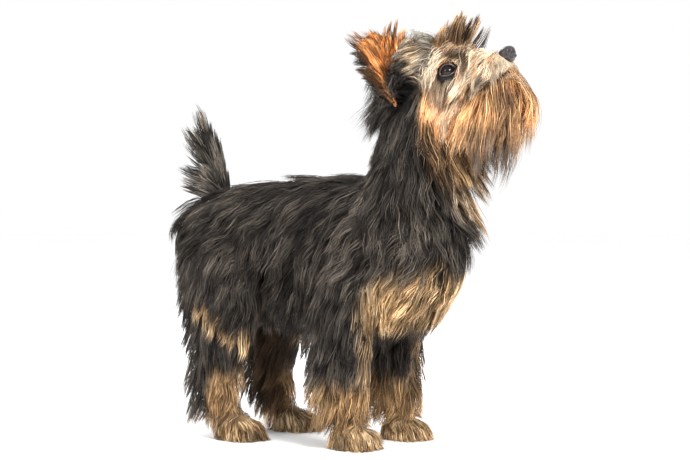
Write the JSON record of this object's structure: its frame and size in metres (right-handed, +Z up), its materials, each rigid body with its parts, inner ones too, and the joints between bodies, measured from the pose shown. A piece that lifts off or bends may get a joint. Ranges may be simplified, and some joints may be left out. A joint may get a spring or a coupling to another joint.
{
  "type": "yorkshire terrier",
  "caption": "Life-size still model of a young long-coated toy terrier, standing with its head raised and its tail up.",
  "frame": {"origin": "middle of the model's box, at the floor under its paws", "axes": "+Z up, the dog faces -Y, its left side is +X"},
  "size_m": [0.1224, 0.3148, 0.3127],
  "materials": {
    "face_hair": "fine long orange-tan hair, pale at the tips",
    "black_hair": "long black hair with a slight gloss",
    "grey_black_hair": "long wavy black hair with dark grey lights",
    "leg_hair": "long hair, black above and behind, tan below and in front",
    "eye": "wet, very dark brown",
    "nose_leather": "fine-grained black, slightly moist"
  },
  "bodies": {
    "root": {"head": "face_hair", "neck": "black_hair", "torso": "grey_black_hair", "tail": "grey_black_hair", "ear_right": "face_hair", "ear_left": "face_hair", "leg_front_right": "leg_hair", "leg_front_left": "leg_hair", "leg_hind_right": "leg_hair", "leg_hind_left": "leg_hair", "eye_right": "eye", "eye_left": "eye", "nose": "nose_leather"}
  },
  "joints": []
}
